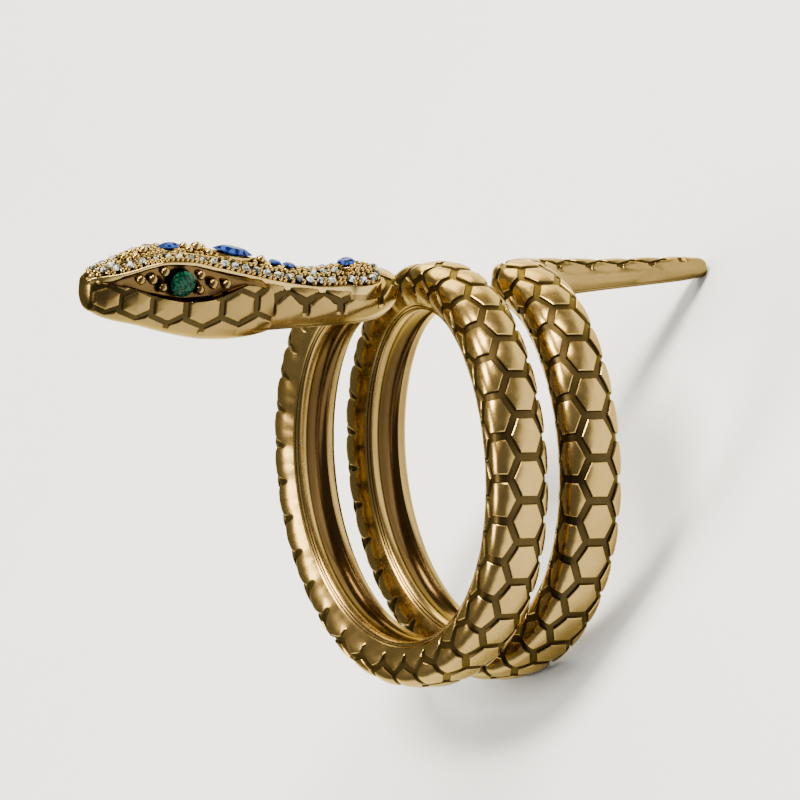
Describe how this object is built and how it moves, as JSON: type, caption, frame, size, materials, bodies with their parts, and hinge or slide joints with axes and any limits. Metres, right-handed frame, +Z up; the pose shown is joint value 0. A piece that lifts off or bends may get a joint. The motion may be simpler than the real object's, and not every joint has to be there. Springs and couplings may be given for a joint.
{
  "type": "snake wrap ring",
  "caption": "Gold snake wrap ring: a scaled body coils round the finger, with a stone-set head and neck at the front and a plain tapering tail at the back.",
  "frame": {"origin": "middle of the base of the box round the ring, on the surface that the ring rests on", "axes": "+Z up with the head and neck highest; +X from the head's side towards the tail; Y across, towards -Y the side that shows the near eye; the finger hole leans 33 degrees from upright in the XZ plane"},
  "size_m": [0.0284, 0.0222, 0.0339],
  "materials": {
    "antiqued_gold": "polished yellow gold with dark brown antiquing in the grooves",
    "green_stone": "faceted deep green stone",
    "blue_stone": "faceted blue stone",
    "clear_stone": "faceted colourless stone"
  },
  "bodies": {
    "root": {"snake_body": "antiqued_gold", "eye_stone_near": "green_stone", "eye_stone_far": "green_stone", "marquise_small": "blue_stone", "marquise_large": "blue_stone", "blue_neck_front": "blue_stone", "blue_neck_back": "blue_stone", "blue_drop": "blue_stone", "pave_stones": "clear_stone"}
  },
  "joints": []
}
